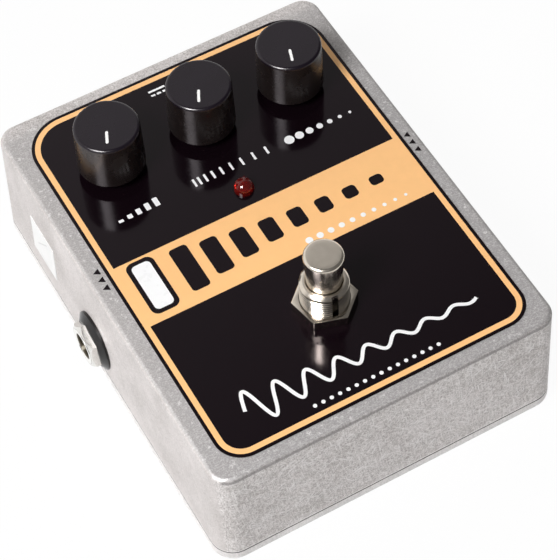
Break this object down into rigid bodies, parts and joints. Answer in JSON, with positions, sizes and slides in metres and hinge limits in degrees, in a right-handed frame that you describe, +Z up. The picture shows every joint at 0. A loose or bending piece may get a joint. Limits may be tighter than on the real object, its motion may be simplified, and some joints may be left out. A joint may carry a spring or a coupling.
{
  "type": "delay pedal",
  "caption": "Delay effects pedal: drafted cast box with turning knobs, an indicator lamp, a stomp switch, plug jacks on both sides and a power socket behind.",
  "frame": {"origin": "middle of the base, on the table", "axes": "+Z up, -Y towards the player at the footswitch end, -X at the output jack"},
  "size_m": [0.1, 0.1204, 0.054],
  "materials": {
    "cast_aluminium": "tumbled, lightly scratched bare casting",
    "zinc_steel": "zinc plated",
    "black_ink": "glossy print",
    "orange_ink": "glossy print",
    "white_label": "plain label",
    "knob_black": "satin moulding",
    "pointer_white": "inlaid line",
    "shaft_steel": "turned",
    "nickel": "nickel plated",
    "pot_metal": "stamped can",
    "wafer_brown": "phenolic board",
    "contact_brass": "stamped contacts",
    "lamp_red": "clear red resin, unlit",
    "switch_blue": "moulded housing",
    "jack_black": "moulded",
    "collar_black": "moulded",
    "board_green": "solder mask",
    "chip_black": "moulded",
    "can_blue": "sleeved can",
    "film_red": "dipped",
    "resistor_tan": "lacquered",
    "wire_red": "insulated"
  },
  "bodies": {
    "case": {"enclosure": "cast_aluminium", "base_plate": "cast_aluminium", "base_screws": "zinc_steel", "face_black": "black_ink", "face_orange": "orange_ink", "side_label": "white_label", "pot_wafers": "wafer_brown", "pot_terminals": "zinc_steel", "pot_nuts": "nickel", "pot_washers": "nickel", "lamp_lens": "lamp_red", "lamp_leads": "zinc_steel", "switch_spring": "zinc_steel", "switch_bushing": "nickel", "switch_nut": "nickel", "switch_inner_nut": "nickel", "switch_lock_washer": "nickel", "switch_housing": "switch_blue", "switch_lugs": "contact_brass", "switch_wires": "wire_red", "dc_socket_body": "jack_black", "dc_socket_pin": "nickel", "dc_socket_spring": "contact_brass", "circuit_board": "board_green", "delay_chip": "chip_black", "amplifier_chips": "chip_black", "electrolytic_capacitors": "can_blue", "film_capacitors": "film_red", "resistors": "resistor_tan", "regulator": "chip_black", "mix_pot_bushing": "nickel", "mix_pot_can": "pot_metal", "time_pot_bushing": "nickel", "time_pot_can": "pot_metal", "repeats_pot_bushing": "nickel", "repeats_pot_can": "pot_metal", "output_jack_sleeve": "nickel", "output_jack_collar": "collar_black", "output_jack_nut": "nickel", "output_jack_body": "jack_black", "output_jack_contacts": "contact_brass", "input_jack_sleeve": "nickel", "input_jack_collar": "collar_black", "input_jack_nut": "nickel", "input_jack_body": "jack_black", "input_jack_contacts": "contact_brass"},
    "footswitch": {"switch_button": "nickel"},
    "mix_control": {"mix_knob": "knob_black", "mix_pointer": "pointer_white", "mix_shaft": "shaft_steel"},
    "time_control": {"time_knob": "knob_black", "time_pointer": "pointer_white", "time_shaft": "shaft_steel"},
    "repeats_control": {"repeats_knob": "knob_black", "repeats_pointer": "pointer_white", "repeats_shaft": "shaft_steel"}
  },
  "joints": [
    {"name": "mix_turn", "type": "hinge", "parent": "case", "child": "mix_control", "pos_m": [-0.0247, 0.034, 0.045], "axis": [0, 0, -1], "range_deg": [0, 300]},
    {"name": "time_turn", "type": "hinge", "parent": "case", "child": "time_control", "pos_m": [0.0005, 0.034, 0.045], "axis": [0, 0, -1], "range_deg": [0, 300]},
    {"name": "repeats_turn", "type": "hinge", "parent": "case", "child": "repeats_control", "pos_m": [0.0257, 0.034, 0.045], "axis": [0, 0, -1], "range_deg": [0, 300]},
    {"name": "footswitch_press", "type": "slide", "parent": "case", "child": "footswitch", "axis": [0, 0, -1], "range_m": [0, 0.0035], "stiffness_N_per_m": 5000, "springref_m": -0.001, "deforming": ["switch_spring"]}
  ]
}
